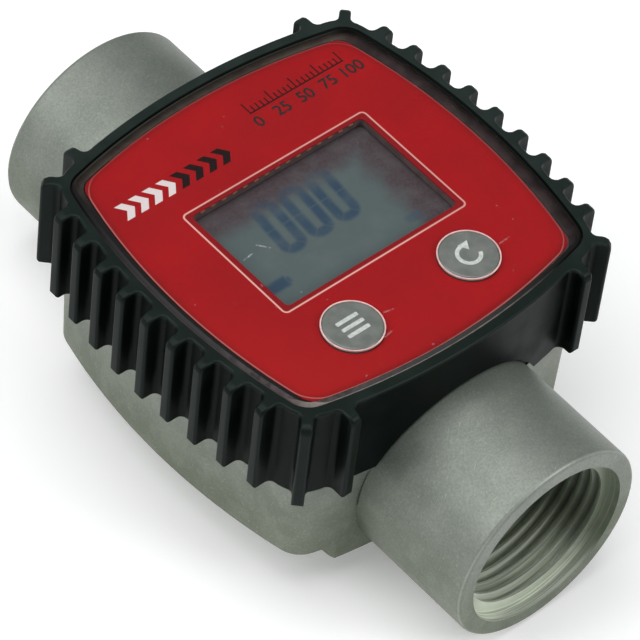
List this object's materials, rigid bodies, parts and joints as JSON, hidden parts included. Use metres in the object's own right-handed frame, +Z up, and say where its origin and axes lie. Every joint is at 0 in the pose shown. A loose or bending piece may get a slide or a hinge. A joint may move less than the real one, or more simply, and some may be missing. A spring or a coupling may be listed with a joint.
{
  "type": "digital turbine flow meter",
  "caption": "In-line turbine flow meter with threaded metal pipe body, ribbed square display housing, small LCD and push buttons.",
  "frame": {"origin": "on the flat foot, under the middle of the pipe", "axes": "+Y along the pipe towards the outlet and the display's upper edge, +X in the display's reading direction, +Z up out of the display"},
  "size_m": [0.083, 0.1242, 0.0522],
  "materials": {
    "cast_body": "bead-blasted",
    "housing_plastic": "fine-textured nylon",
    "label_red": "printed film under the clear cover",
    "clear_plastic": "polished",
    "button_grey": "satin",
    "wet_plastic": "satin",
    "bush_plastic": "satin",
    "steel": "satin",
    "magnet": "nickel-plated",
    "seal_rubber": "matt",
    "tray_plastic": "satin",
    "cell_wrap": "printed sleeve",
    "contact_metal": "plated",
    "board_green": "solder mask",
    "chip_black": "moulded",
    "strip_rubber": "layered",
    "display_grey": "polarised glass",
    "frame_white": "satin"
  },
  "bodies": {
    "meter": {"meter_body": "cast_body", "inlet_flow_guide": "wet_plastic", "outlet_flow_guide": "wet_plastic", "inlet_bush": "bush_plastic", "outlet_bush": "bush_plastic", "inlet_circlip": "steel", "outlet_circlip": "steel", "display_housing": "housing_plastic", "tray_gasket": "seal_rubber", "battery_tray": "tray_plastic", "battery_cell_left": "cell_wrap", "battery_cell_right": "cell_wrap", "battery_contacts": "contact_metal", "circuit_board": "board_green", "controller_chip": "chip_black", "reed_sensor": "steel", "display_strips": "strip_rubber", "display_glass": "display_grey", "display_frame": "frame_white", "menu_switch": "chip_black", "reset_switch": "chip_black", "menu_seal": "seal_rubber", "reset_seal": "seal_rubber", "face_label": "label_red", "cover_seal": "seal_rubber", "clear_cover": "clear_plastic", "housing_screws": "steel", "module_screws": "steel"},
    "turbine": {"turbine_rotor": "wet_plastic", "turbine_shaft": "steel", "rotor_magnets": "magnet"},
    "menu_key": {"menu_button": "button_grey", "menu_plunger": "frame_white"},
    "reset_key": {"reset_button": "button_grey", "reset_plunger": "frame_white"}
  },
  "joints": [
    {"name": "turbine_spin", "type": "hinge", "parent": "meter", "child": "turbine", "pos_m": [0, 0, 0.021], "axis": [0, 1, 0], "continuous": true},
    {"name": "menu_press", "type": "slide", "parent": "meter", "child": "menu_key", "axis": [0, 0, -1], "range_m": [0, 0.0005], "stiffness_N_per_m": 2000},
    {"name": "reset_press", "type": "slide", "parent": "meter", "child": "reset_key", "axis": [0, 0, -1], "range_m": [0, 0.0005], "stiffness_N_per_m": 2000}
  ]
}
